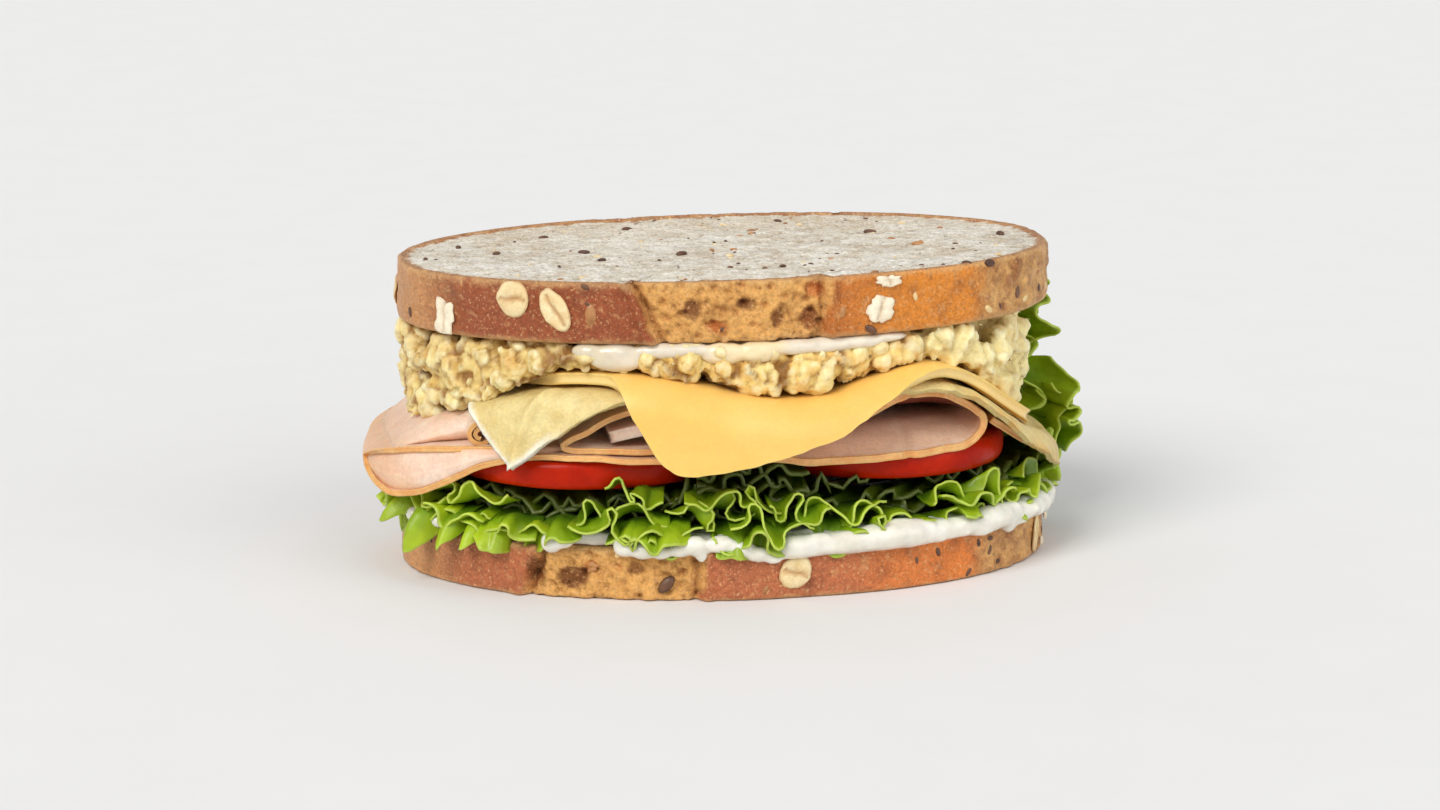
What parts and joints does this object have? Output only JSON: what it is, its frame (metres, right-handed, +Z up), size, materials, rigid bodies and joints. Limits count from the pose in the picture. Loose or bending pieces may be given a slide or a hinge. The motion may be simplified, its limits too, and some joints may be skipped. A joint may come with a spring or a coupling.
{
  "type": "sandwich",
  "caption": "Stacked sandwich of two oval seeded bread slices around sauce, frilled lettuce, tomato, folded ham, a thin egg sheet, a cheese slice and chunky chicken salad.",
  "frame": {"origin": "on the surface the sandwich stands on, at the centre of its plan", "axes": "+Z up through the stack, X along the loaf's long side, front at -Y"},
  "size_m": [0.175, 0.1148, 0.0747],
  "materials": {
    "bread": "dry matte crust and open crumb",
    "sauce": "wet, glossy",
    "lettuce": "crisp leaf with a soft shine",
    "tomato": "wet, glossy",
    "ham": "moist, slightly shiny",
    "egg": "moist, soft matte",
    "cheese": "smooth, waxy",
    "salad": "creamy, moist and rough"
  },
  "bodies": {
    "root": {"bread_bottom": "bread", "bread_top": "bread", "sauce_bottom": "sauce", "sauce_top": "sauce", "lettuce_bed": "lettuce", "lettuce_side_leaf": "lettuce", "tomato_left": "tomato", "tomato_right": "tomato", "tomato_back_left": "tomato", "tomato_back_right": "tomato", "ham_left_lower": "ham", "ham_left_upper": "ham", "ham_centre": "ham", "ham_right": "ham", "ham_right_outer": "ham", "egg_sheet": "egg", "cheese_slice": "cheese", "chicken_salad": "salad"}
  },
  "joints": []
}
